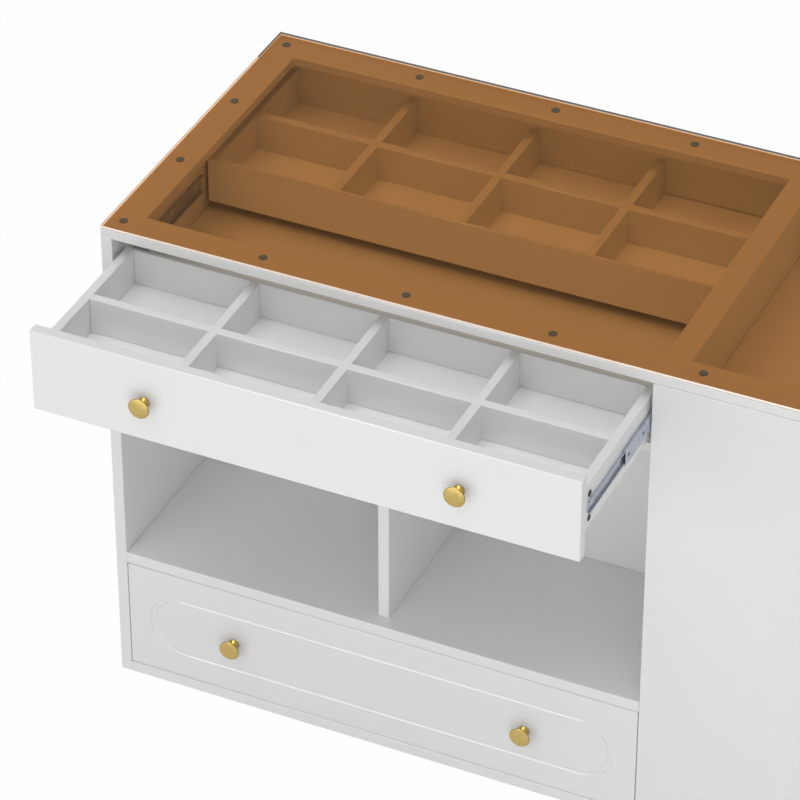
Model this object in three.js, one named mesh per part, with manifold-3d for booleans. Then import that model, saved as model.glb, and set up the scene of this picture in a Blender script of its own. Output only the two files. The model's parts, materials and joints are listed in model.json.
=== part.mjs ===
// Closet island with drawers: a double-sided lacquered cabinet under a tinted glass top.
// The left module has two upper drawers with divided trays, open cubbies and two lower
// drawers, one of each on either long side. The right module is a bay open at its end.
// Millimetres, +Z up. Inside the model x runs from the left end, y from the front face
// to the rear face and z from the ground; the outer group centres the footprint.

import * as THREE from 'three';
import { mergeVertices } from 'three/addons/utils/BufferGeometryUtils.js';
import Module from 'manifold-3d';

const wasm = await Module();
wasm.setup();

// The whole island
const islandLength = 1186;
const islandDepth = 600;
const islandHeight = 839;
const drawerBayWidth = 854;

// Boards, the running gap round the fronts and the step back of the inner boards
const panelThickness = 18;
const deckThickness = 19.5;
const thinShelfThickness = 15;
const cubbyBackThickness = 27;
const frontGap = 1.25;
const innerSetback = 23.5;
const cutOverrun = 2;

// Glass top and the frame below it, one board with a window over each bay
const glassThickness = 5;
const frameThickness = 15.25;
const longRailWidth = 53;
const endRailWidth = 49.5;
const centreRailWidth = 39;
const centreRailLead = 2;

// Heights of the shelves. The dust panel's lower face lies just above the upper fronts' edge.
const middleShelfTop = 236.5;
const dustPanelStep = 0.25;
const endShelfShare = 0.68;

// Drawers: what all four share
const boxWallThickness = 14;
const boxBackThickness = 6;
const boxDrop = 29;
const boxRearSpace = 14.5;
const trayFloorThickness = 6;
const trayGrooveDepth = 3;
const trayGrooveGap = 0.3;

// Upper drawers, shallow, with a divided tray. The rear one reaches past the middle.
const upperFrontHeight = 137.75;
const upperBoxHeight = 77;
const upperFloorDrop = 60;
const rearBoxReach = 4.5;
const dividerThickness = 14;
const crossDividerCount = 3;

// Lower drawers, deep, with a routed pill-shaped line round the face
const lowerBoxHeight = 150;
const lowerFloorDrop = 132;
const pillInset = 40.75;
const pillHeight = 104;
const pillGrooveWidth = 9;
const pillGrooveFloor = 4;
const pillGrooveDepth = 3;
const pillArcSteps = 14;
const pillRoundingSteps = 3;

// Knobs: radii and heights of the turned profile, from the drawer's face. They sit a little
// below the middle of the front.
const knobSpacing = 488.5;
const knobDrop = 2;
const knobFlangeRadius = 8.5;
const knobFlangeHeight = 1.5;
const knobNeckRadius = 4.5;
const knobNeckStart = 5.5;
const knobNeckEnd = 13;
const knobHeadRadius = 16.5;
const knobRimStart = 16.5;
const knobRimHeight = 1.75;
const knobCrown = 2.25;
const knobCurveSteps = 3;
const knobTurnSteps = 20;

// Telescopic runners: three nested steel channels with room for the balls between them.
// Depths are measured from the cabinet's wall, half heights from the runner's middle.
const runnerSetback = 16;
const runnerEndSpace = 1.5;
const runnerOvertravel = 1.25;
const runnerDrop = 39.5;
const runnerSpace = 6.4;
const steelThickness = 0.8;
const runningGap = 0.4;
const outerHalfHeight = 15;
const outerDepth = 5;
const outerBallSize = 2.2;
const innerBallSize = 1.8;
const middleInset = 0.6;
const bendRadius = 0.8;
const bendShare = 0.4;
const bendSteps = 2;
const runnerHoleRadius = 3.5;
const runnerHoleSteps = 8;
const runnerHoleShares = [0.05, 0.265, 0.62, 0.93];

// Colours and finishes
const lacquer = new THREE.MeshStandardMaterial({ color: 0xededec, roughness: 0.45, metalness: 0 });
const steel = new THREE.MeshStandardMaterial({ color: 0x9aa2b0, roughness: 0.35, metalness: 1 });
const brass = new THREE.MeshStandardMaterial({ color: 0xd8b45a, roughness: 0.3, metalness: 1 });
const tintedGlass = new THREE.MeshStandardMaterial({
  color: 0x9c6b3e,
  roughness: 0.05,
  metalness: 0,
  transparent: true,
  opacity: 0.55,
});

// Levels and lines that several pieces share
const glassBottom = islandHeight - glassThickness;
const frameBottom = glassBottom - frameThickness;
const bayLeft = panelThickness;
const bayRight = bayLeft + drawerBayWidth;
const partitionRight = bayRight + panelThickness;
const centreRailLeft = bayRight - centreRailLead;
const cubbyBackFront = (islandDepth - cubbyBackThickness) / 2;
const cubbyBackRear = cubbyBackFront + cubbyBackThickness;
const cubbyDividerLeft = bayLeft + (drawerBayWidth - panelThickness) / 2;
const frontWidth = drawerBayWidth - 2 * frontGap;
const trayLeft = runnerSpace + boxWallThickness;
const trayRight = drawerBayWidth - trayLeft;
const upperFrontTop = frameBottom - frontGap;
const upperFrontBottom = upperFrontTop - upperFrontHeight;
const dustPanelBottom = upperFrontBottom + dustPanelStep;
const endShelfTop = deckThickness + endShelfShare * (dustPanelBottom - deckThickness);

// Depths inside the drawers, from the island's middle, and the runners that fit them
const fullInside = islandDepth / 2 - panelThickness - boxBackThickness;
const shortInside = fullInside - boxRearSpace;
const longInside = fullInside + rearBoxReach;
const runnerLength = shortInside + boxBackThickness - runnerSetback - runnerEndSpace;
const upperDrawerOpening = runnerLength + runnerOvertravel;

const island = new THREE.Group();
const model = new THREE.Group();
model.position.set(-islandLength / 2, -islandDepth / 2, 0);
island.add(model);

// A board between two corners, given as ranges along x, y and z
function board(x, y, z) {
  const geometry = new THREE.BoxGeometry();
  const corners = geometry.getAttribute('position');
  for (let i = 0; i < corners.count; i += 1) {
    const cornerX = x[Number(corners.getX(i) > 0)];
    const cornerY = y[Number(corners.getY(i) > 0)];
    const cornerZ = z[Number(corners.getZ(i) > 0)];
    corners.setXYZ(i, cornerX, cornerY, cornerZ);
  }
  return geometry;
}

// A closed geometry as a solid that can be joined and cut
function toSolid(geometry) {
  const bare = geometry.clone();
  bare.deleteAttribute('normal');
  bare.deleteAttribute('uv');
  const merged = mergeVertices(bare);
  return new wasm.Manifold(new wasm.Mesh({
    numProp: 3,
    vertProperties: new Float32Array(merged.getAttribute('position').array),
    triVerts: new Uint32Array(merged.index.array),
  }));
}

// A joined or cut solid back as a flat-shaded geometry
function toGeometry(solid) {
  const mesh = solid.getMesh();
  const geometry = new THREE.BufferGeometry();
  geometry.setAttribute('position', new THREE.BufferAttribute(mesh.vertProperties, 3));
  geometry.setIndex(new THREE.BufferAttribute(mesh.triVerts, 1));
  const flat = geometry.toNonIndexed();
  flat.computeVertexNormals();
  return flat;
}

function cut(geometry, tools) {
  let solid = toSolid(geometry);
  for (const tool of tools) {
    solid = solid.subtract(toSolid(tool));
  }
  return toGeometry(solid);
}

function join(geometries) {
  let solid = toSolid(geometries[0]);
  for (const geometry of geometries.slice(1)) {
    solid = solid.add(toSolid(geometry));
  }
  return toGeometry(solid);
}

function addPiece(parent, name, material, geometry) {
  const mesh = new THREE.Mesh(geometry, material);
  mesh.name = name;
  parent.add(mesh);
  return mesh;
}

// Outline through corner points, each corner turned with the steel's bend radius
function bentShape(points) {
  const shape = new THREE.Shape();
  const count = points.length;
  for (let i = 0; i < count; i += 1) {
    const corner = new THREE.Vector2(...points[i]);
    const before = new THREE.Vector2(...points[(i + count - 1) % count]).sub(corner);
    const after = new THREE.Vector2(...points[(i + 1) % count]).sub(corner);
    const reach = Math.min(bendRadius, before.length() * bendShare, after.length() * bendShare);
    const start = before.setLength(reach).add(corner);
    const end = after.setLength(reach).add(corner);
    if (i === 0) {
      shape.moveTo(start.x, start.y);
    } else {
      shape.lineTo(start.x, start.y);
    }
    shape.quadraticCurveTo(corner.x, corner.y, end.x, end.y);
  }
  shape.closePath();
  return shape;
}

// Both halves of a runner's section from its upper half, listed from the web outwards
function mirroredSection(upperHalf) {
  const lowerHalf = upperHalf.map(([x, y]) => [x, -y]).reverse();
  return bentShape([...upperHalf, ...lowerHalf]);
}

// Half heights of the nested channels, each worked out from the one round it
const outerInside = outerHalfHeight - steelThickness;
const middleWebHalf = outerInside - runningGap;
const middleFlangeTop = outerInside - outerBallSize;
const middleFlangeUnder = middleFlangeTop - steelThickness;
const innerLipHalf = middleFlangeUnder - runningGap;
const innerFlangeTop = middleFlangeUnder - innerBallSize;
const innerFlangeUnder = innerFlangeTop - steelThickness;

// The fixed channel: a flat web on the wall, flanges and lips turned in over the balls
function outerSection() {
  const lipTip = middleFlangeTop + runningGap;
  return mirroredSection([
    [0, outerHalfHeight],
    [outerDepth, outerHalfHeight],
    [outerDepth, lipTip],
    [outerDepth - steelThickness, lipTip],
    [outerDepth - steelThickness, outerInside],
    [steelThickness, outerInside],
  ]);
}

// The middle member: a tall web whose edges hold the outer balls, with a channel inside it
function middleSection() {
  const webStart = steelThickness + runningGap;
  const webEnd = webStart + steelThickness;
  const lipEnd = runnerSpace - middleInset;
  const lipStart = lipEnd - steelThickness;
  const lipTip = innerFlangeTop + runningGap;
  return mirroredSection([
    [webStart, middleWebHalf],
    [webEnd, middleWebHalf],
    [webEnd, middleFlangeTop],
    [lipEnd, middleFlangeTop],
    [lipEnd, lipTip],
    [lipStart, lipTip],
    [lipStart, middleFlangeUnder],
    [webEnd, middleFlangeUnder],
  ]);
}

// The drawer's member, measured back from the drawer side that its web lies on. Its lips
// turn out over the balls.
function innerSection() {
  const lipStart = 2 * (steelThickness + runningGap) - runnerSpace;
  const lipEnd = lipStart + steelThickness;
  return mirroredSection([
    [-steelThickness, innerFlangeUnder],
    [lipStart, innerFlangeUnder],
    [lipStart, innerLipHalf],
    [lipEnd, innerLipHalf],
    [lipEnd, innerFlangeTop],
    [0, innerFlangeTop],
  ]);
}

// A runner member along y from 0, with screw and access holes through its web
function runnerMember(section) {
  const bar = new THREE.ExtrudeGeometry(section, {
    depth: runnerLength,
    bevelEnabled: false,
    curveSegments: bendSteps,
  });
  bar.rotateX(Math.PI / 2);
  bar.translate(0, runnerLength, 0);
  const holeLength = 2 * (runnerSpace + cutOverrun);
  const holes = runnerHoleShares.map((share) => {
    const hole = new THREE.CylinderGeometry(
      runnerHoleRadius, runnerHoleRadius, holeLength, runnerHoleSteps);
    hole.rotateZ(Math.PI / 2);
    return hole.translate(0, share * runnerLength, 0);
  });
  return cut(bar, holes);
}

const outerMember = runnerMember(outerSection());
const middleMember = runnerMember(middleSection());
const innerMember = runnerMember(innerSection());

// A member screwed to the plane at x, on the left of a bay or turned over on its right
function placedMember(member, x, isRight, height) {
  const geometry = member.clone();
  if (isRight) {
    geometry.rotateY(Math.PI);
  }
  return geometry.translate(x, panelThickness + runnerSetback, height);
}

// A turned knob with a base flange, a waist and a shallow domed head, pointing along -y
function knobGeometry() {
  const rimEnd = knobRimStart + knobRimHeight;
  const crownEnd = rimEnd + knobCrown;
  const profile = new THREE.Path();
  profile.moveTo(0, 0);
  profile.lineTo(knobFlangeRadius, 0);
  profile.lineTo(knobFlangeRadius, knobFlangeHeight);
  profile.quadraticCurveTo(knobNeckRadius, knobFlangeHeight, knobNeckRadius, knobNeckStart);
  profile.lineTo(knobNeckRadius, knobNeckEnd);
  profile.quadraticCurveTo(knobNeckRadius, knobRimStart, knobHeadRadius, knobRimStart);
  profile.lineTo(knobHeadRadius, rimEnd);
  profile.quadraticCurveTo(knobHeadRadius / 2, crownEnd, 0, crownEnd);
  const geometry = new THREE.LatheGeometry(profile.getPoints(knobCurveSteps), knobTurnSteps);
  return geometry.rotateX(Math.PI);
}

// A pill-shaped outline round the origin
function pillPath(path, width, height) {
  const radius = height / 2;
  const arm = width / 2 - radius;
  path.moveTo(-arm, -radius);
  path.lineTo(arm, -radius);
  path.absarc(arm, 0, radius, -Math.PI / 2, Math.PI / 2, false);
  path.lineTo(-arm, radius);
  path.absarc(-arm, 0, radius, Math.PI / 2, 3 * Math.PI / 2, false);
  return path;
}

// The round-nosed cutter that routs the pill-shaped line into a drawer's face
function pillCutter(centreHeight) {
  const lineWidth = frontWidth - 2 * pillInset;
  const ring = pillPath(new THREE.Shape(), lineWidth + pillGrooveFloor, pillHeight + pillGrooveFloor);
  const core = pillPath(new THREE.Path(), lineWidth - pillGrooveFloor, pillHeight - pillGrooveFloor);
  ring.holes.push(core);
  const cutter = new THREE.ExtrudeGeometry(ring, {
    depth: cutOverrun,
    bevelThickness: pillGrooveDepth,
    bevelSize: (pillGrooveWidth - pillGrooveFloor) / 2,
    bevelSegments: pillRoundingSteps,
    curveSegments: pillArcSteps,
  });
  cutter.rotateX(Math.PI / 2);
  return cutter.translate(drawerBayWidth / 2, 0, centreHeight);
}

// The inside of a tray at its floor's level, widened all round and above and below
function trayLayer(inside, floorTop, widening, slack) {
  return board(
    [trayLeft - widening, trayRight + widening],
    [panelThickness - widening, panelThickness + inside + widening],
    [floorTop - trayFloorThickness - slack, floorTop + slack]);
}

// One long divider and the cross dividers, halved together
function dividerGrid(inside, floorTop, boxTop) {
  const backStart = panelThickness + inside;
  const longFront = panelThickness + (inside - dividerThickness) / 2;
  const allDividers = crossDividerCount * dividerThickness;
  const cell = (trayRight - trayLeft - allDividers) / (crossDividerCount + 1);
  const height = [floorTop, boxTop];
  const boards = [board([trayLeft, trayRight], [longFront, longFront + dividerThickness], height)];
  for (let i = 1; i <= crossDividerCount; i += 1) {
    const start = trayLeft + i * cell + (i - 1) * dividerThickness;
    boards.push(board([start, start + dividerThickness], [panelThickness, backStart], height));
  }
  return join(boards);
}

// The pieces on one side of a drawer: its wall, its knob and two of its runner's members.
// On the lower drawers the inner member is one with the wall that it is screwed to.
function buildSide(name, level, isRight, drawer, middles) {
  const side = isRight ? 'right' : 'left';
  const wallX = isRight ? [trayRight, drawerBayWidth - runnerSpace] : [runnerSpace, trayLeft];
  const end = panelThickness + level.inside + boxBackThickness;
  const height = [level.boxTop - level.boxHeight, level.boxTop];
  const wall = board(wallX, [panelThickness, end], height);
  const grooved = cut(wall, [level.groove]);
  const outerFace = isRight ? drawerBayWidth - runnerSpace : runnerSpace;
  const rail = placedMember(innerMember, outerFace, isRight, level.runnerHeight);
  if (level.isUpper) {
    addPiece(drawer, `${name}_drawer_side_${side}`, lacquer, grooved);
    addPiece(drawer, `${name}_runner_inner_${side}`, steel, rail);
  } else {
    addPiece(drawer, `${name}_drawer_side_${side}`, lacquer, join([grooved, rail]));
  }
  const cabinetWall = isRight ? drawerBayWidth : 0;
  const middle = placedMember(middleMember, cabinetWall, isRight, level.runnerHeight);
  addPiece(middles, `${name}_runner_middle_${side}`, steel, middle);
  const knob = addPiece(drawer, `${name}_knob_${side}`, brass, knobGeometry());
  const offset = isRight ? knobSpacing / 2 : -knobSpacing / 2;
  knob.position.set(drawerBayWidth / 2 + offset, 0, level.frontMiddle - knobDrop);
}

// A drawer in its bay, closed: x from the bay's left wall, y from the drawer's face
function buildDrawer(name, level) {
  const drawer = new THREE.Group();
  const middles = new THREE.Group();
  const frontX = [frontGap, frontGap + frontWidth];
  const face = board(frontX, [0, panelThickness], [level.frontBottom, level.frontTop]);
  const faceCuts = level.isUpper ? [level.groove] : [level.groove, pillCutter(level.frontMiddle)];
  addPiece(drawer, `${name}_drawer_front`, lacquer, cut(face, faceCuts));
  buildSide(name, level, false, drawer, middles);
  buildSide(name, level, true, drawer, middles);

  const backStart = panelThickness + level.inside;
  const back = board(
    [trayLeft, trayRight],
    [backStart, backStart + boxBackThickness],
    [level.boxTop - level.boxHeight, level.boxTop]);
  addPiece(drawer, `${name}_drawer_back`, lacquer, cut(back, [level.groove]));
  const floor = trayLayer(level.inside, level.floorTop, trayGrooveDepth - trayGrooveGap, 0);
  addPiece(drawer, `${name}_drawer_floor`, lacquer, floor);
  if (level.isUpper) {
    const grid = dividerGrid(level.inside, level.floorTop, level.boxTop);
    addPiece(drawer, `${name}_drawer_dividers`, lacquer, grid);
  }
  return { drawer, middles };
}

// The heights that a drawer takes from the boards above and below its front
function drawerLevel(isUpper, inside) {
  const frontTop = isUpper ? upperFrontTop : middleShelfTop - deckThickness - frontGap;
  const frontBottom = isUpper ? upperFrontBottom : deckThickness + frontGap;
  const boxTop = frontTop - boxDrop;
  const boxHeight = isUpper ? upperBoxHeight : lowerBoxHeight;
  const floorTop = boxTop - (isUpper ? upperFloorDrop : lowerFloorDrop);
  return {
    isUpper,
    inside,
    frontTop,
    frontBottom,
    frontMiddle: (frontTop + frontBottom) / 2,
    boxTop,
    boxHeight,
    floorTop,
    runnerHeight: boxTop - (isUpper ? runnerDrop : boxHeight / 2),
    groove: trayLayer(inside, floorTop, trayGrooveDepth, trayGrooveGap),
  };
}

// The bay on the front side, or the one on the rear side, which faces the other way
function bayGroup(isRear) {
  const bay = new THREE.Group();
  if (isRear) {
    bay.rotation.z = Math.PI;
    bay.position.set(bayRight, islandDepth, 0);
  } else {
    bay.position.set(bayLeft, 0, 0);
  }
  model.add(bay);
  return bay;
}

function addDrawer(name, level, isRear, opening) {
  const bay = bayGroup(isRear);
  const { drawer, middles } = buildDrawer(name, level);
  drawer.position.y = -opening;
  middles.position.y = -opening / 2;
  bay.add(drawer, middles);
  if (level.isUpper) {
    for (const isRight of [false, true]) {
      const side = isRight ? 'right' : 'left';
      const cabinetWall = isRight ? drawerBayWidth : 0;
      const rail = placedMember(outerMember, cabinetWall, isRight, level.runnerHeight);
      addPiece(bay, `${name}_runner_outer_${side}`, steel, rail);
    }
  }
}

const lowerLevel = drawerLevel(false, shortInside);

// The fixed members of the lower runners on one wall, front and rear
function lowerOuterMembers(isRightWall) {
  const wall = isRightWall ? bayRight : bayLeft;
  const front = placedMember(outerMember, wall, isRightWall, lowerLevel.runnerHeight);
  const rear = placedMember(outerMember, -wall, !isRightWall, lowerLevel.runnerHeight);
  rear.rotateZ(Math.PI);
  rear.translate(0, islandDepth, 0);
  return [front, rear];
}

// The bottom board: full depth under the drawers, notched for the end panels beside them
function bottomGeometry() {
  const outline = new THREE.Shape();
  outline.moveTo(bayLeft, 0);
  outline.lineTo(bayRight, 0);
  outline.lineTo(bayRight, panelThickness);
  outline.lineTo(islandLength, panelThickness);
  outline.lineTo(islandLength, islandDepth - panelThickness);
  outline.lineTo(bayRight, islandDepth - panelThickness);
  outline.lineTo(bayRight, islandDepth);
  outline.lineTo(bayLeft, islandDepth);
  outline.closePath();
  return new THREE.ExtrudeGeometry(outline, { depth: deckThickness, bevelEnabled: false });
}

function buildCarcass() {
  const depth = [0, islandDepth];
  const between = [panelThickness, islandDepth - panelThickness];
  const frontBoard = [0, panelThickness];
  const rearBoard = [islandDepth - panelThickness, islandDepth];
  const endX = [bayRight, islandLength];
  const leftSide = board([0, panelThickness], depth, [0, frameBottom]);
  const partition = board([bayRight, partitionRight], between, [deckThickness, frameBottom]);
  addPiece(model, 'left_side_panel', lacquer, join([leftSide, ...lowerOuterMembers(false)]));
  addPiece(model, 'partition_panel', lacquer, join([partition, ...lowerOuterMembers(true)]));
  addPiece(model, 'bottom_panel', lacquer, bottomGeometry());
  addPiece(model, 'end_front_panel', lacquer, board(endX, frontBoard, [0, frameBottom]));
  addPiece(model, 'end_rear_panel', lacquer, board(endX, rearBoard, [0, frameBottom]));
}

function buildShelves() {
  const bayX = [bayLeft, bayRight];
  const endX = [partitionRight, islandLength];
  const between = [panelThickness, islandDepth - panelThickness];
  const setBack = [innerSetback, islandDepth - innerSetback];
  const thin = [dustPanelBottom, dustPanelBottom + thinShelfThickness];
  const middle = [middleShelfTop - deckThickness, middleShelfTop];
  const end = [endShelfTop - panelThickness, endShelfTop];
  addPiece(model, 'middle_shelf', lacquer, board(bayX, [0, islandDepth], middle));
  addPiece(model, 'dust_panel', lacquer, board(bayX, setBack, thin));
  addPiece(model, 'end_bay_floor', lacquer, board(endX, between, thin));
  addPiece(model, 'end_shelf', lacquer, board(endX, between, end));
}

// The board between the front and rear cubbies, and the upright that halves each row
function buildCubbies() {
  const height = [middleShelfTop, dustPanelBottom];
  const dividerX = [cubbyDividerLeft, cubbyDividerLeft + panelThickness];
  const frontY = [innerSetback, cubbyBackFront];
  const rearY = [cubbyBackRear, islandDepth - innerSetback];
  const back = board([bayLeft, bayRight], [cubbyBackFront, cubbyBackRear], height);
  addPiece(model, 'cubby_back_panel', lacquer, back);
  addPiece(model, 'cubby_divider_front', lacquer, board(dividerX, frontY, height));
  addPiece(model, 'cubby_divider_rear', lacquer, board(dividerX, rearY, height));
}

function buildTop() {
  const windowY = [longRailWidth, islandDepth - longRailWidth];
  const cutZ = [frameBottom - cutOverrun, glassBottom + cutOverrun];
  const length = [0, islandLength];
  const depth = [0, islandDepth];
  const plate = board(length, depth, [frameBottom, glassBottom]);
  const leftWindow = board([endRailWidth, centreRailLeft], windowY, cutZ);
  const rightWindow = board(
    [centreRailLeft + centreRailWidth, islandLength - endRailWidth], windowY, cutZ);
  addPiece(model, 'top_frame', lacquer, cut(plate, [leftWindow, rightWindow]));
  addPiece(model, 'glass_top', tintedGlass, board(length, depth, [glassBottom, islandHeight]));
}

buildCarcass();
buildShelves();
buildCubbies();
buildTop();
addDrawer('upper_front', drawerLevel(true, shortInside), false, upperDrawerOpening);
addDrawer('upper_rear', drawerLevel(true, longInside), true, 0);
addDrawer('lower_front', lowerLevel, false, 0);
addDrawer('lower_rear', lowerLevel, true, 0);

export default island;
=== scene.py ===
# %% [markdown]
# # Closet island with drawers
#
# The island is a cabinet of white lacquered boards that stands free in a dressing room. A
# sheet of brown tinted glass lies on top, and one sees through it into the upper drawers.
# Every board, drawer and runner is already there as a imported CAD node, in metres, with Z up.
# This notebook gives the boards their softened arrises and their finishes, and adds what is
# too small for the CAD model: turned knobs, cam locks, screws, retainers and glass pads.

# %% Load the frame
import json
from math import atan2, hypot, pi, radians, tau

import bmesh
import bpy
from mathutils import Matrix, Vector


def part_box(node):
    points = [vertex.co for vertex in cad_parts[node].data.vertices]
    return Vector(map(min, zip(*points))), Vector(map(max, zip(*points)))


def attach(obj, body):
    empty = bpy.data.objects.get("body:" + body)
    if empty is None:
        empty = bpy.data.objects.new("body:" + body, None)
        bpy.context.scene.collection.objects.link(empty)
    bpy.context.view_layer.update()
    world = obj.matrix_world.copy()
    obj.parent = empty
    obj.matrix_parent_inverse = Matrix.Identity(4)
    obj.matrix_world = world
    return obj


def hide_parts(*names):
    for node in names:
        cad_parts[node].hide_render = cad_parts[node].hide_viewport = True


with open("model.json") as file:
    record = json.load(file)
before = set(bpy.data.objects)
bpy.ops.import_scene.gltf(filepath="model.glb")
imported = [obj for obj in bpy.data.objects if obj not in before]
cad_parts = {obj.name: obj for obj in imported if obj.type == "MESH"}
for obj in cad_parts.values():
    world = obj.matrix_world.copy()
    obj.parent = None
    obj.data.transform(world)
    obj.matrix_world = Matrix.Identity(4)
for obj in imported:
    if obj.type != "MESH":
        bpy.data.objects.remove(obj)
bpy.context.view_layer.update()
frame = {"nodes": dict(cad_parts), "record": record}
nodes = frame["nodes"]
bodies = frame["record"]["behaviour"]["bodies"]
body_of = {name: body for body, names in bodies.items() for name in names}

# %% [markdown]
# ## The camera
#
# The picture is taken with a long lens from above and from the right, so that parallel edges
# stay almost parallel. The camera comes first, because it decides how fine a detail has to be:
# one pixel is about a millimetre and a half on the fronts.

# %% Place the camera
scene = bpy.context.scene
camera_place = (1.9667, -4.7945, 4.2865)
camera_tilt = radians(90 - 36.143)
camera_heading = radians(24.796)
camera_lens = 190.7
sensor_width = 36

camera = bpy.data.objects.new("camera", bpy.data.cameras.new("camera"))
camera.location = camera_place
camera.rotation_euler = (camera_tilt, 0, camera_heading)
camera.data.lens = camera_lens
camera.data.sensor_width = sensor_width
scene.collection.objects.link(camera)
scene.camera = camera
scene.view_settings.view_transform = "Standard"
print("camera", camera_place, "lens", camera_lens)

# %% [markdown]
# ## A helper for shader maths
#
# A finish is a small network of nodes. Writing each Math node by hand hides the idea, so a
# socket is wrapped in a class whose operators add the nodes: `1 - mask * 0.2` reads as what it
# is. Every other node comes from one method, which takes the node's type, its settings and
# the values or links of its sockets.


# %% Wrap a socket
class Signal:
    """An output socket of a finish's node tree; sums with it add Math nodes."""

    def __init__(self, finish, socket):
        self.finish = finish
        self.socket = socket

    def math(self, operation, first, second):
        return self.finish.add("Math", {"operation": operation}, {0: first, 1: second})

    def __add__(self, other):
        return self.math("ADD", self, other)

    def __sub__(self, other):
        return self.math("SUBTRACT", self, other)

    def __mul__(self, other):
        return self.math("MULTIPLY", self, other)

    def __truediv__(self, other):
        return self.math("DIVIDE", self, other)

    def __rsub__(self, other):
        return self.math("SUBTRACT", other, self)

    def above(self, limit):
        return self.math("GREATER_THAN", self, limit)

    __radd__ = __add__
    __rmul__ = __mul__


# %% Build a finish
def socket_name(key):
    return key.replace("_", " ").title().replace("Ior", "IOR")


class Finish:
    """A material in the making, or a world."""

    def __init__(self, name, kind="materials"):
        self.made = getattr(bpy.data, kind).new(name)
        self.made.use_nodes = True
        self.tree = self.made.node_tree
        self.tree.nodes.clear()

    def add(self, kind, settings=None, sockets=None, output=0):
        """Any node: its settings first, then the values or links of its sockets."""
        node = self.tree.nodes.new("ShaderNode" + kind)
        for key, value in (settings or {}).items():
            setattr(node, key, value)
        for key, value in (sockets or {}).items():
            if isinstance(value, Signal):
                self.tree.links.new(value.socket, node.inputs[key])
            else:
                node.inputs[key].default_value = value
        return Signal(self, node.outputs[output]) if node.outputs else None

    def place(self, stretch=(1, 1, 1)):
        """Where a point lies on the object, scaled along each axis."""
        where = self.add("TexCoord", output="Object")
        return self.add("Mapping", {}, {"Vector": where, "Scale": stretch})

    def noise(self, where, scale, detail=2):
        return self.add("TexNoise", {}, {"Vector": where, "Scale": scale, "Detail": detail})

    def colour_between(self, factor, first, second):
        """A mix of two colours, each a triple or a link."""
        ends = [end if isinstance(end, Signal) else (*end, 1) for end in (first, second)]
        sockets = {0: factor, 6: ends[0], 7: ends[1]}
        return self.add("Mix", {"data_type": "RGBA"}, sockets, output=2)

    def bump(self, height, strength, distance):
        sockets = {"Height": height, "Strength": strength, "Distance": distance}
        return self.add("Bump", {}, sockets)

    def looked_at(self):
        """One where the eye, a mirror or a glass looks at the surface, and zero in its light."""
        names = ("Is Camera Ray", "Is Glossy Ray", "Is Transmission Ray")
        rays = [self.add("LightPath", output=name) for name in names]
        return (rays[0] + rays[1] + rays[2]).above(0.5)

    def surface(self, **sockets):
        """A Principled surface as the material's output."""
        named = {socket_name(key): value for key, value in sockets.items()}
        return self.output(self.add("BsdfPrincipled", {}, named))

    def output(self, shader):
        self.add("OutputMaterial", {}, {"Surface": shader})
        return self.made


# %% [markdown]
# ## White lacquer
#
# The boards are sprayed with a satin white lacquer. Seen close, such a film has orange peel, a
# faint dimpling a millimetre or so across, and its sheen drifts a little over a board. Both are
# kept very weak: the boards have to stay calm and white. The drawer floors take a lighter copy
# of the lacquer, which is painted light: it stands for the light that falls on them from above.
# The denoiser leaves blotches where a roughness drifts across about 0.27, so no drifting finish
# goes below a least roughness.

# %% Mix the lacquer
least_roughness = 0.28
lacquer_dark = (0.785, 0.785, 0.782)
lacquer_light = (0.815, 0.815, 0.812)
# The drawer floors' lighter copy of the lacquer is painted light from above.
floor_painted_light_low = (0.885, 0.882, 0.876)
floor_painted_light_high = (0.910, 0.907, 0.901)


def mix_lacquer(name, dark, light):
    finish = Finish(name)
    place = finish.place()
    drift = finish.noise(place, scale=7, detail=3)
    peel = finish.noise(place, scale=750, detail=1)
    return finish.surface(
        base_color=finish.colour_between(drift, dark, light),
        roughness=least_roughness + drift * 0.08,
        normal=finish.bump(peel, strength=0.06, distance=0.0001),
    )


lacquer = mix_lacquer("white_lacquer", lacquer_dark, lacquer_light)
floor_board_painted_light = mix_lacquer("drawer_floor_painted_light", floor_painted_light_low, floor_painted_light_high)
print("finishes", lacquer.name, floor_board_painted_light.name)

# %% [markdown]
# ## Zinc plated steel
#
# The runners are rolled from zinc plated strip. The plating is a cool grey with a faint bluish
# cast, drawn into long streaks by the rollers, so the noise is stretched along the runner.

# %% Mix the steel
steel_dark = (0.28, 0.31, 0.38)
steel_light = (0.66, 0.70, 0.79)
steel_metal = 0.55
streak_stretch = (1, 0.04, 1)


def mix_steel():
    finish = Finish("runner_steel")
    streaks = finish.noise(finish.place(streak_stretch), scale=600, detail=3)
    cloud = finish.noise(finish.place(), scale=120, detail=3)
    return finish.surface(
        base_color=finish.colour_between(cloud, steel_dark, steel_light),
        metallic=steel_metal,
        roughness=least_roughness + streaks * 0.18,
        normal=finish.bump(streaks, strength=0.15, distance=0.0001),
    )


steel = mix_steel()
print("finish", steel.name)

# %% [markdown]
# ## Dark fittings
#
# Retainers at the runners' ends are black plastic, and the heads of the cam locks and the pads
# under the glass are nearly as dark. The ball cages are steel a few tones lighter; their strips
# are also painted shade along the runners' lower flanges. A matt base with a little grain is
# enough for all.

# %% Mix the dark finishes
plastic_dark = (0.018, 0.019, 0.022)
plastic_light = (0.035, 0.036, 0.040)
# The cage strips' darkness is partly painted shade on the runners' lower flanges.
cage_and_painted_shade_dark = (0.19, 0.205, 0.245)
cage_and_painted_shade_light = (0.29, 0.31, 0.36)
pad_dark = (0.050, 0.036, 0.014)
pad_light = (0.100, 0.076, 0.036)
dull_gloss = 0.2


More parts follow.
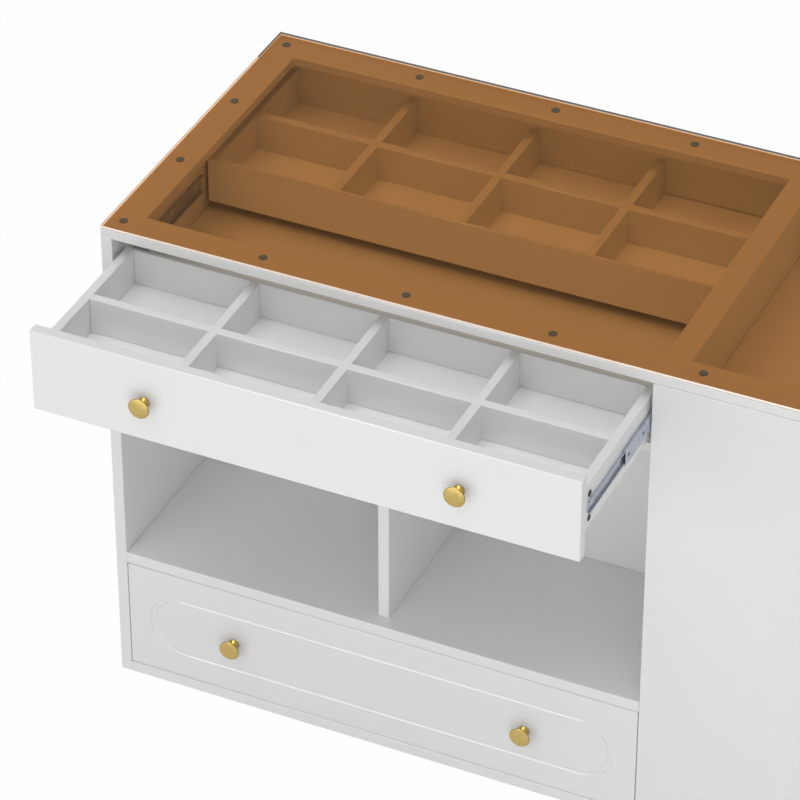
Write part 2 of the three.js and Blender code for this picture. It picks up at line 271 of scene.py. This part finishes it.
def mix_dark(name, dark, light, base_roughness):
    finish = Finish(name)
    grain = finish.noise(finish.place(), scale=1800, detail=2)
    return finish.surface(
        base_color=finish.colour_between(grain, dark, light),
        roughness=base_roughness + grain * 0.15,
        specular_ior_level=dull_gloss,
        normal=finish.bump(grain, strength=0.2, distance=0.0001),
    )


plastic = mix_dark("black_plastic", plastic_dark, plastic_light, base_roughness=0.38)
rubber = mix_dark("pad_rubber", pad_dark, pad_light, base_roughness=0.55)
cage_and_painted_shade_steel = mix_dark("cage_steel_and_painted_shade", cage_and_painted_shade_dark, cage_and_painted_shade_light, base_roughness=0.45)
print("finishes", plastic.name, rubber.name, cage_and_painted_shade_steel.name)

# %% [markdown]
# ## Boards with softened arrises
#
# A sharp edge never catches the light, but a lacquered board always shows a thin bright line
# along its arris. The CAD board is right but sharp, and its mesh is loose triangles. So each
# board is copied, its doubles are merged and its flat triangles dissolved, and then the long
# arrises are bevelled. The copy replaces the node in the picture. The two plain end panels
# also stop a hair short of the top frame, which shows their joint as a thin dark line.

# %% Tools that every new piece uses
weld_distance = 1e-6
flat_angle = radians(1)
sharp_angle = radians(40)
square_angle = radians(60)
level_share = 0.999


def add_piece(name, shape, finishes, body, stands_for=()):
    """Turns a bmesh into an object that rides on a body."""
    mesh = bpy.data.meshes.new(name)
    shape.to_mesh(mesh)
    shape.free()
    if "custom_normal" in mesh.attributes:
        mesh.attributes.remove(mesh.attributes["custom_normal"])
    for finish in finishes:
        mesh.materials.append(finish)
    piece = bpy.data.objects.new(name, mesh)
    scene.collection.objects.link(piece)
    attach(piece, body)
    if stands_for:
        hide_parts(*stands_for)
    return piece


def turn(shape, angle, axis):
    """Turns a shape round an axis through the origin."""
    matrix = Matrix.Rotation(angle, 3, axis)
    bmesh.ops.rotate(shape, cent=(0, 0, 0), matrix=matrix, verts=shape.verts)


def merged_copy(name):
    """A CAD node's mesh as one welded shape with whole flat faces."""
    shape = bmesh.new()
    shape.from_mesh(nodes[name].data)
    bmesh.ops.remove_doubles(shape, verts=shape.verts, dist=weld_distance)
    bmesh.ops.dissolve_limit(
        shape, angle_limit=flat_angle, verts=shape.verts, edges=shape.edges)
    return shape


def round_edges(shape, edges, radius, segments):
    """Bevels edges, and shades only the new narrow faces smooth."""
    made = bmesh.ops.bevel(
        shape,
        geom=edges,
        affect="EDGES",
        offset=radius,
        offset_type="OFFSET",
        segments=segments,
        profile=0.5,
        material=-1,
        clamp_overlap=True,
    )
    for face in made["faces"]:
        face.smooth = True
    return made


# %% Round the boards
board_radius = 0.0013
front_radius = 0.0020
shortest_arris = 0.012
arris_segments = 3
steel_slack = 0.00005
inner_member_depth = 0.0040
outer_member_depth = 0.0050
seam_width = 0.0007
seamed_boards = ("end_front_panel", "end_rear_panel")
bay_middle = sum(corner.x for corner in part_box("middle_shelf")) / 2


def outward(low, high):
    """One on the right of the drawer bay, and minus one on its left."""
    return 1 if (low.x + high.x) / 2 > bay_middle else -1


def steel_limits(name):
    """The range along x in which a fused node is a board; beyond it, it is runner steel."""
    low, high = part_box(name)
    if name == "left_side_panel":
        return low.x, high.x - outer_member_depth
    if name == "partition_panel":
        return low.x + outer_member_depth, high.x
    if name.startswith("lower") and "_drawer_side_" in name:
        if outward(low, high) > 0:
            return low.x, high.x - inner_member_depth
        return low.x + inner_member_depth, high.x
    return low.x, high.x


def is_square(face):
    """True for a face that looks along an axis, which routed faces don't."""
    return max(abs(share) for share in face.normal) > level_share


def is_arris(edge):
    if len(edge.link_faces) != 2 or edge.calc_length() < shortest_arris:
        return False
    if not all(is_square(face) and not face.material_index for face in edge.link_faces):
        return False
    return edge.calc_face_angle() > square_angle


def smooth_grooves(shape):
    """Shades the routed faces as one round channel."""
    for face in shape.faces:
        face.smooth = not is_square(face)
    for edge in shape.edges:
        if len(edge.link_faces) == 2 and edge.calc_face_angle() > sharp_angle:
            edge.smooth = False


def open_seam(shape, top):
    """Lowers a board's top a hair, so that a dark joint line shows above it."""
    for vert in shape.verts:
        if vert.co.z > top - weld_distance:
            vert.co.z -= seam_width


def soften_board(name):
    shape = merged_copy(name)
    if name in seamed_boards:
        open_seam(shape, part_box(name)[1].z)
    start, end = steel_limits(name)
    for face in shape.faces:
        middle = face.calc_center_median().x
        is_board = start - steel_slack < middle < end + steel_slack
        face.material_index = 0 if is_board else 1
    smooth_grooves(shape)
    radius = front_radius if name.endswith("drawer_front") else board_radius
    arrises = [edge for edge in shape.edges if is_arris(edge)]
    round_edges(shape, arrises, radius, arris_segments)
    # The drawer floors take the lighter copy of the lacquer: painted light.
    coat = floor_board_painted_light if name.endswith("drawer_floor") else lacquer
    return add_piece(
        name + "_softened", shape, [coat, steel], body_of[name], [name])


knob_names = [name for name in nodes if "_knob_" in name]
runner_names = [name for name in nodes if "_runner_" in name]
own_look = set(knob_names + runner_names + ["glass_top"])
boards = [soften_board(name) for name in nodes if name not in own_look]
print("boards", len(boards), "faces", sum(len(board.data.polygons) for board in boards))

# %% Give the runners their steel
for name in runner_names:
    nodes[name].data.materials.clear()
    nodes[name].data.materials.append(steel)
print("runner members", len(runner_names))

# %% [markdown]
# ## The glass top
#
# The sheet lies loose on small pads and covers the whole island. It is float glass with a
# brown tint. What lies under it keeps its drawing and only takes on the tint, so the glass is
# made see-through without bending. The tint sits in the lower face: it is a full brown when
# one looks down through it, and a paler one for the light that falls in, so that boards which
# the glass only lights stay white. The upper face adds a weak gloss. The polished sides are
# pale with a painted glow, and their far part is darkened with painted shade.

# %% Mix the glass
tint_seen = (0.95, 0.475, 0.172, 1)
tint_fallen = (0.525, 0.470, 0.405, 1)
gloss_bend = 1.08
gloss_roughness = 0.03
edge_pale_low = (0.86, 0.79, 0.71)
edge_pale_high = (0.95, 0.90, 0.84)
# Painted shade for the far part of the polished sides.
edge_painted_shade_low = (0.17, 0.19, 0.19)
edge_painted_shade_high = (0.24, 0.26, 0.26)
painted_shade_start = 0.221
# A painted glow on the near polished sides.
edge_painted_glow = (1.0, 0.78, 0.50)
edge_painted_glow_strength = 0.22


def mix_tint():
    """The glass's lower face: brown from above, and paler for the light that falls in."""
    finish = Finish("glass_lower_face")
    fallen = finish.add("BsdfTransparent", {}, {"Color": tint_fallen})
    seen = finish.add("BsdfTransparent", {}, {"Color": tint_seen})
    from_above = finish.add("NewGeometry", output="Backfacing")
    return finish.output(finish.add("MixShader", {}, {0: from_above, 1: fallen, 2: seen}))


def mix_gloss():
    """The glass's upper face: see-through, with a weak gloss when seen from above."""
    finish = Finish("glass_upper_face")
    gloss = finish.add("BsdfGlossy", {}, {"Roughness": gloss_roughness})
    through = finish.add("BsdfTransparent")
    from_above = 1 - finish.add("NewGeometry", output="Backfacing")
    share = finish.add("Fresnel", {}, {"IOR": gloss_bend}) * from_above
    return finish.output(finish.add("MixShader", {}, {0: share, 1: through, 2: gloss}))


def mix_edge():
    """The polished sides: pale with a painted glow, and painted shade along the far part."""
    finish = Finish("glass_edge_painted_glow_and_shade")
    place = finish.place()
    grind = finish.noise(place, scale=220, detail=3)
    # The mask splits the sides: painted shade on the far part, a painted glow on the near part.
    is_painted_shade_part = finish.add("SeparateXYZ", {}, {"Vector": place}, output="Y").above(painted_shade_start)
    pale = finish.colour_between(grind, edge_pale_low, edge_pale_high)
    shade = finish.colour_between(grind, edge_painted_shade_low, edge_painted_shade_high)
    glow = finish.colour_between(is_painted_shade_part, edge_painted_glow, (0, 0, 0))
    return finish.surface(
        base_color=finish.colour_between(is_painted_shade_part, pale, shade),
        roughness=least_roughness + grind * 0.10,
        emission_color=glow,
        emission_strength=edge_painted_glow_strength,
    )


glass_finishes = [mix_gloss(), mix_tint(), mix_edge()]
upper_face, lower_face, polished_edge = range(len(glass_finishes))

# %% Cut the glass
glass_lift = 0.0003
glass_arris = 0.0005
glass_seam = 0.0024
steep_share = 0.9


def box_shape(low, high):
    """A box between two corners, from the unit cube."""
    shape = bmesh.new()
    bmesh.ops.create_cube(shape, size=1)
    bmesh.ops.scale(shape, vec=Vector(high) - Vector(low), verts=shape.verts)
    bmesh.ops.translate(shape, vec=(Vector(high) + Vector(low)) / 2, verts=shape.verts)
    return shape


def glass_side(face):
    if face.normal.z > steep_share:
        return upper_face
    if face.normal.z < -steep_share:
        return lower_face
    return polished_edge


def cut_glass():
    low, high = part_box("glass_top")
    low.z += glass_lift
    shape = box_shape(low, high)
    foot = low.z + glass_arris
    seams = [edge for edge in shape.edges if all(vert.co.z < foot for vert in edge.verts)]
    round_edges(shape, seams, glass_seam, 2)
    rims = [edge for edge in shape.edges if edge.calc_face_angle() > square_angle]
    round_edges(shape, rims, glass_arris, 2)
    shape.normal_update()
    for face in shape.faces:
        face.material_index = glass_side(face)
    return add_piece("glass_sheet", shape, glass_finishes, "root", ["glass_top"])


cut_glass()

# %% [markdown]
# ## Pads under the glass
#
# Round pads keep the glass off the lacquer. They are let into shallow seats in its underside,
# six along each long side and four along each short one, and show as dark dots.

# %% Press the pads
pad_radius = 0.0065
pad_foot = 0.0008
pad_rise = 0.0010
pad_steps = 32
pad_arris = 0.00015
first_pad = (0.0228, 0.0310)
pad_pitch = (0.2280, 0.1814)
pad_counts = (6, 4)


def turned_disc(radius, low, high, steps, arris):
    """A flat round disc with its axis along z and a softened upper rim."""
    shape = bmesh.new()
    made = bmesh.ops.create_circle(shape, cap_ends=True, radius=radius, segments=steps)
    bmesh.ops.translate(shape, vec=(0, 0, low), verts=made["verts"])
    lid = bmesh.ops.extrude_face_region(shape, geom=list(shape.faces))
    raised = [item for item in lid["geom"] if isinstance(item, bmesh.types.BMVert)]
    bmesh.ops.translate(shape, vec=(0, 0, high - low), verts=raised)
    bmesh.ops.recalc_face_normals(shape, faces=shape.faces)
    rim = [edge for edge in shape.edges if all(vert in raised for vert in edge.verts)]
    round_edges(shape, rim, arris, 2)
    return shape


def pad_places():
    across, deep = pad_counts
    for column in range(across):
        for row in range(deep):
            if column in (0, across - 1) or row in (0, deep - 1):
                yield column, row


frame_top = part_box("top_frame")[1].z
island_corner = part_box("glass_top")[0]
for column, row in pad_places():
    pad = turned_disc(pad_radius, frame_top - pad_foot, frame_top + pad_rise, pad_steps, pad_arris)
    offset = (
        island_corner.x + first_pad[0] + column * pad_pitch[0],
        island_corner.y + first_pad[1] + row * pad_pitch[1],
        0,
    )
    bmesh.ops.translate(pad, vec=offset, verts=pad.verts)
    add_piece(f"glass_pad_{column + 1}_{row + 1}", pad, [rubber], "root")
print("pads", len(list(pad_places())))

# %% [markdown]
# ## Brass knobs
#
# Each knob is turned from a brass bar: a flange against the front, a waist, and a broad head
# with a very shallow cone. The lathe leaves fine rings round the axis, which spread the sheen
# over the whole head. A profile of a few points is spun round the axis, and its corners are
# then rounded with bevels. The rings follow the piece's own map, in which the second coordinate
# is the distance from the axis. Behind the head that coordinate starts at the head's radius, so
# that the waist, the flange and the outer rim of the head take the dark brass as painted shade.

# %% Mix the brass
brass_dark_and_painted_shade = (0.30, 0.205, 0.055)
brass_light = (0.70, 0.54, 0.205)
ring_pitch = 0.0004
# Beyond this radius on the head, and all behind the head, the brass is dark: painted shade.
painted_shade_radius = 0.0158


def mix_brass():
    finish = Finish("turned_brass_painted_shade")
    own_map = finish.add("TexCoord", output="UV")
    distance = finish.add("SeparateXYZ", {}, {"Vector": own_map}, output="Y")
    settings = {"noise_dimensions": "1D"}
    rings = finish.add("TexNoise", settings, {"W": distance / ring_pitch, "Scale": 1, "Detail": 2})
    cloud = finish.noise(finish.place(), scale=160, detail=2)
    # Ring and cloud tone, with painted shade beyond the rim and behind the head.
    polish = (rings * 0.6 + cloud * 0.4) * (1 - distance.above(painted_shade_radius))
    return finish.surface(
        base_color=finish.colour_between(polish, brass_dark_and_painted_shade, brass_light),
        metallic=1.0,
        roughness=least_roughness + rings * 0.16,
        normal=finish.bump(rings, strength=0.6, distance=0.0001),
    )


brass = mix_brass()
print("finish", brass.name)

# %% Turn a knob
flange_radius = 0.0085
flange_height = 0.0016
waist_radius = 0.0045
waist_start = 0.0045
waist_end = 0.0150
head_radius = 0.0165
rim_start = 0.0166
rim_end = 0.01825
crown_height = 0.0205
shoulder_radius = 0.0125
shoulder_height = 0.0196
crown_radius = 0.0050
crown_edge_height = 0.0204
knob_turns = 72
ring_slack = 1e-5
knob_profile = [
    (0, 0),
    (flange_radius, 0),
    (flange_radius, flange_height),
    (waist_radius, waist_start),
    (waist_radius, waist_end),
    (head_radius, rim_start),
    (head_radius, rim_end),
    (shoulder_radius, shoulder_height),
    (crown_radius, crown_edge_height),
    (0, crown_height),
]
knob_fillets = [
    (flange_radius, flange_height, 0.0006, 3),
    (waist_radius, waist_start, 0.0022, 5),
    (waist_radius, waist_end, 0.0045, 7),
    (head_radius, rim_start, 0.0004, 2),
    (head_radius, rim_end, 0.0005, 3),
    (shoulder_radius, shoulder_height, 0.0030, 5),
    (crown_radius, crown_edge_height, 0.0035, 5),
]


def ring_edges(shape, radius, height):
    """The edges of the ring that a profile point draws when it is spun."""
    def is_on(vert):
        out = hypot(vert.co.x, vert.co.z)
        return abs(out - radius) < ring_slack and abs(vert.co.y + height) < ring_slack

    return [edge for edge in shape.edges if all(is_on(vert) for vert in edge.verts)]


def turn_knob():
    """A knob on the origin, pointing along -y."""
    shape = bmesh.new()
    verts = [shape.verts.new((radius, -height, 0)) for radius, height in knob_profile]
    edges = [shape.edges.new(pair) for pair in zip(verts, verts[1:])]
    bmesh.ops.spin(
        shape,
        geom=verts + edges,
        cent=(0, 0, 0),
        axis=(0, 1, 0),
        dvec=(0, 0, 0),
        angle=tau,
        steps=knob_turns,
        use_merge=True,
    )
    bmesh.ops.remove_doubles(shape, verts=shape.verts, dist=weld_distance)
    bmesh.ops.recalc_face_normals(shape, faces=shape.faces)
    for radius, height, fillet, segments in knob_fillets:
        round_edges(shape, ring_edges(shape, radius, height), fillet, segments)
    for face in shape.faces:
        face.smooth = True
    return shape


def map_rings(shape):
    """Gives a knob its own map: the angle, and the distance from the axis, pushed past the head's
    radius behind the head for the painted shade.
    """
    layer = shape.loops.layers.uv.new("rings")
    for face in shape.faces:
        # Faces behind the head are pushed into the painted shade.
        is_behind = face.calc_center_median().y > -rim_end
        start = head_radius if is_behind else 0
        for loop in face.loops:
            spot = loop.vert.co
            out = hypot(spot.x, spot.z)
            loop[layer].uv = (atan2(spot.z, spot.x) / tau, start + out)


def fit_knob(name):
    low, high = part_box(name)
    is_rear = "_rear_" in name
    shape = turn_knob()
    map_rings(shape)
    if is_rear:
        turn(shape, pi, "Z")
    seat = low.y if is_rear else high.y
    middle = ((low.x + high.x) / 2, seat, (low.z + high.z) / 2)
    bmesh.ops.translate(shape, vec=middle, verts=shape.verts)
    return add_piece(name + "_turned", shape, [brass], body_of[name], [name])


knobs = [fit_knob(name) for name in knob_names]
print("knobs", len(knobs), "faces each", len(knobs[0].data.polygons))

# %% [markdown]
# ## Fittings on the drawer sides
#
# The drawer fronts are held by cam locks: dark discs let into the drawer's sides just behind
# the front, one above and one below the runner. Each is a short disc with a round recess in
# its head, pressed in by an inset and a push inwards.

# %% Press the cam locks
cam_radius = 0.0055
cam_rise = 0.0008
cam_depth = 0.0020
cam_steps = 24
cam_above = 0.0200
cam_below = 0.0215
cam_recess_share = 0.55
cam_recess_depth = 0.0005


def cam_disc():
    """A cam lock on the origin, its head looking along +x."""
    shape = turned_disc(cam_radius, -cam_depth, cam_rise, cam_steps, cam_rise / 2)
    head = max(shape.faces, key=lambda face: face.calc_center_median().z)
    bmesh.ops.inset_individual(shape, faces=[head], thickness=cam_radius * (1 - cam_recess_share))
    bmesh.ops.translate(shape, vec=(0, 0, -cam_recess_depth), verts=head.verts)
    turn(shape, pi / 2, "Y")
    return shape


def drawer_side_faces():
    """Each drawer side: its outer face, which way it looks, its front end and its body."""
    for level in ("upper", "lower"):
        for bay in ("front", "rear"):
            forward = -1 if bay == "front" else 1
            front_low, front_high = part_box(f"{level}_{bay}_drawer_front")
            board_back = front_high.y if bay == "front" else front_low.y
            for hand in ("left", "right"):
                name = f"{level}_{bay}_drawer_side_{hand}"
                low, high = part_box(name)
                start, end = steel_limits(name)
                out = outward(low, high)
                face = end if out > 0 else start
                yield name, face, out, board_back, forward


runner_heights = {
    "upper": sum(corner.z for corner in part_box("upper_front_runner_inner_left")) / 2,
    "lower": sum(corner.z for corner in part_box("lower_front_runner_middle_left")) / 2,
}
cam_behind_front = 0.0235
cam_count = 0
for name, face, out, board_back, forward in drawer_side_faces():
    height = runner_heights[name.split("_")[0]]
    for place, drop in (("upper", -cam_above), ("lower", cam_below)):
        cam = cam_disc()
        if out < 0:
            turn(cam, pi, "Z")
        spot = (face, board_back - forward * cam_behind_front, height - drop)
        bmesh.ops.translate(cam, vec=spot, verts=cam.verts)
        add_piece(f"{name}_cam_{place}", cam, [plastic], body_of[name])
        cam_count += 1
print("cam locks", cam_count)

# %% [markdown]
# ## Runner screws and retainers
#
# Pan head screws hold the drawer's member to the drawer side through its punched holes. The
# edge of the ball cage shows as a dark strip along its lower flange, which also paints shade on
# that flange. A black retainer closes the front end of each middle member, where it keeps the
# balls in.

# %% Drive the screws
screw_radius = 0.0042
screw_rise = 0.0011
screw_steps = 20
steel_sheet = 0.0008
hole_shares = (0.05, 0.265, 0.62, 0.93)


def screw_head():
    shape = turned_disc(screw_radius, 0, screw_rise, screw_steps, screw_rise * 0.6)
    turn(shape, pi / 2, "Y")
    return shape


screw_count = 0
for name in [name for name in runner_names if "_inner_" in name]:
    low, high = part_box(name)
    is_rear = "_rear_" in name
    out = outward(low, high)
    web = low.x + steel_sheet if out > 0 else high.x - steel_sheet
    for number, share in enumerate(hole_shares, 1):
        along = high.y - share * (high.y - low.y) if is_rear else low.y + share * (high.y - low.y)
        head = screw_head()
        if out < 0:
            turn(head, pi, "Z")
        bmesh.ops.translate(head, vec=(web, along, (low.z + high.z) / 2), verts=head.verts)
        add_piece(f"{name}_screw_{number}", head, [steel], body_of[name])
        screw_count += 1
print("screws", screw_count)

# %% Lay the ball cages
cage_start = 0.0012
cage_end = 0.0039
cage_thickness = 0.0004
cage_drop = 0.0086


def lay_cage(name, face, out):
    """The dark strip of the ball cage on the lower flange of a drawer's member, also painted
    shade.
    """
    member = name.replace("drawer_side", "runner_inner")
    if member not in nodes:
        member = name.replace("drawer_side", "runner_middle")
    low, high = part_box(member)
    across = sorted((face + out * cage_start, face + out * cage_end))
    level = (low.z + high.z) / 2 - cage_drop
    shape = box_shape((across[0], low.y, level), (across[1], high.y, level + cage_thickness))
    return add_piece(name + "_ball_cage_and_painted_shade", shape, [cage_and_painted_shade_steel], body_of[name])


cages = [lay_cage(name, face, out) for name, face, out, _, _ in drawer_side_faces()]
print("ball cages", len(cages))

# %% Fit the retainers
retainer_length = 0.0022
retainer_arris = 0.0004
retainer_half_height = 0.0085


def fit_retainer(name):
    low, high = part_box(name)
    is_rear = "_rear_" in name
    front = high.y if is_rear else low.y
    reach = retainer_length if is_rear else -retainer_length
    ends = sorted((front, front + reach))
    middle = (low.z + high.z) / 2
    out = outward(low, high)
    web = (high.x - steel_sheet, high.x) if out > 0 else (low.x, low.x + steel_sheet)
    shape = box_shape(
        (web[0], ends[0], middle - retainer_half_height),
        (web[1], ends[1], middle + retainer_half_height))
    round_edges(shape, list(shape.edges), retainer_arris / 2, 2)
    return add_piece(name + "_retainer", shape, [plastic], body_of[name])


retainers = [fit_retainer(name) for name in runner_names if "_middle_" in name]
print("retainers", len(retainers))

# %% [markdown]
# ## Floor and light
#
# The island stands on a plain white floor in soft light. The floor and the world are white to
# the camera and in reflections, and plain to everything else, so they don't add light to the
# object. Wide lamps from above, the right and behind give the boards their tones, two soft
# boxes in front brighten the fronts, and the world fills in. One small lamp shows in gloss
# alone, as a bright line along the arrises.

# %% Lay the floor
floor_size = 40
floor_tone = (0.85, 0.85, 0.85, 1)
white = (1, 1, 1, 1)
floor_roughness = 0.5
white_share = 0.96
speckle_share = 0.01


def mix_floor():
    finish = Finish("studio_floor")
    speckle = finish.noise(finish.place(), scale=3, detail=2)
    matt = finish.add("BsdfDiffuse", {}, {"Color": floor_tone, "Roughness": floor_roughness})
    glow = finish.add("Emission", {}, {"Color": white, "Strength": 1.0})
    share = finish.looked_at() * (white_share + speckle * speckle_share)
    return finish.output(finish.add("MixShader", {}, {0: share, 1: matt, 2: glow}))


floor_shape = bmesh.new()
bmesh.ops.create_grid(floor_shape, x_segments=1, y_segments=1, size=floor_size / 2)
floor_mesh = bpy.data.meshes.new("floor")
floor_shape.to_mesh(floor_mesh)
floor_shape.free()
floor_mesh.materials.append(mix_floor())
floor = bpy.data.objects.new("floor", floor_mesh)
scene.collection.objects.link(floor)
print("floor", floor_size, "m")

# %% Light the room
world_fill = 0.26
wide_lamps = [
    ("top_lamp", (0, 0, 90), 0.89, 60),
    ("high_lamp", (0, -45, 90), 0.50, 50),
    ("side_lamp", (60, -60, 25), 0.40, 90),
    ("back_lamp", (-45, 50, 8), 0.35, 60),
]
glint_source = (-20, -31, 47)
glint_strength = 3.4
glint_width = 14
soft_boxes = [
    ("front_box", (0.1, -2.1, 1.0), (3.6, 0.9), 12.4),
    ("low_box", (0.1, -2.1, 0.3), (3.6, 0.4), 3.8),
]


def light_room():
    """A world that is white to the eye and weak as a light."""
    sky = Finish("studio", "worlds")
    strength = world_fill + sky.looked_at() * (1 - world_fill)
    fill = sky.add("Background", {}, {"Color": white, "Strength": strength})
    sky.add("OutputWorld", {}, {"Surface": fill})
    scene.world = sky.made


def hang_lamp(name, light, place, target=(0, 0, 0), on_matt=True):
    lamp = bpy.data.objects.new(name, light)
    lamp.location = place
    away = Vector(place) - Vector(target)
    lamp.rotation_euler = away.to_track_quat("Z", "Y").to_euler()
    lamp.visible_camera = False
    lamp.visible_diffuse = on_matt
    scene.collection.objects.link(lamp)


def hang_wide_lamp(name, source, strength, softness):
    """A distant lamp that fills a broad part of the sky."""
    light = bpy.data.lights.new(name, "SUN")
    light.energy = strength
    light.angle = radians(softness)
    hang_lamp(name, light, source)


def hang_soft_box(name, place, size, power):
    """A broad box of light in front of the drawers, below the camera's view."""
    light = bpy.data.lights.new(name, "AREA")
    light.shape = "RECTANGLE"
    light.size, light.size_y = size
    light.energy = power
    straight_ahead = (place[0], 0, place[2])
    hang_lamp(name, light, place, straight_ahead)


def hang_glint_lamp():
    """A small lamp that only polish shows, as a bright line along the arrises."""
    light = bpy.data.lights.new("glint_lamp", "SUN")
    light.energy = glint_strength
    light.angle = radians(glint_width)
    hang_lamp("glint_lamp", light, glint_source, on_matt=False)


light_room()
hang_glint_lamp()
for lamp in wide_lamps:
    hang_wide_lamp(*lamp)
for box in soft_boxes:
    hang_soft_box(*box)
print("lamps", [lamp[0] for lamp in wide_lamps + soft_boxes], "and the glint lamp")
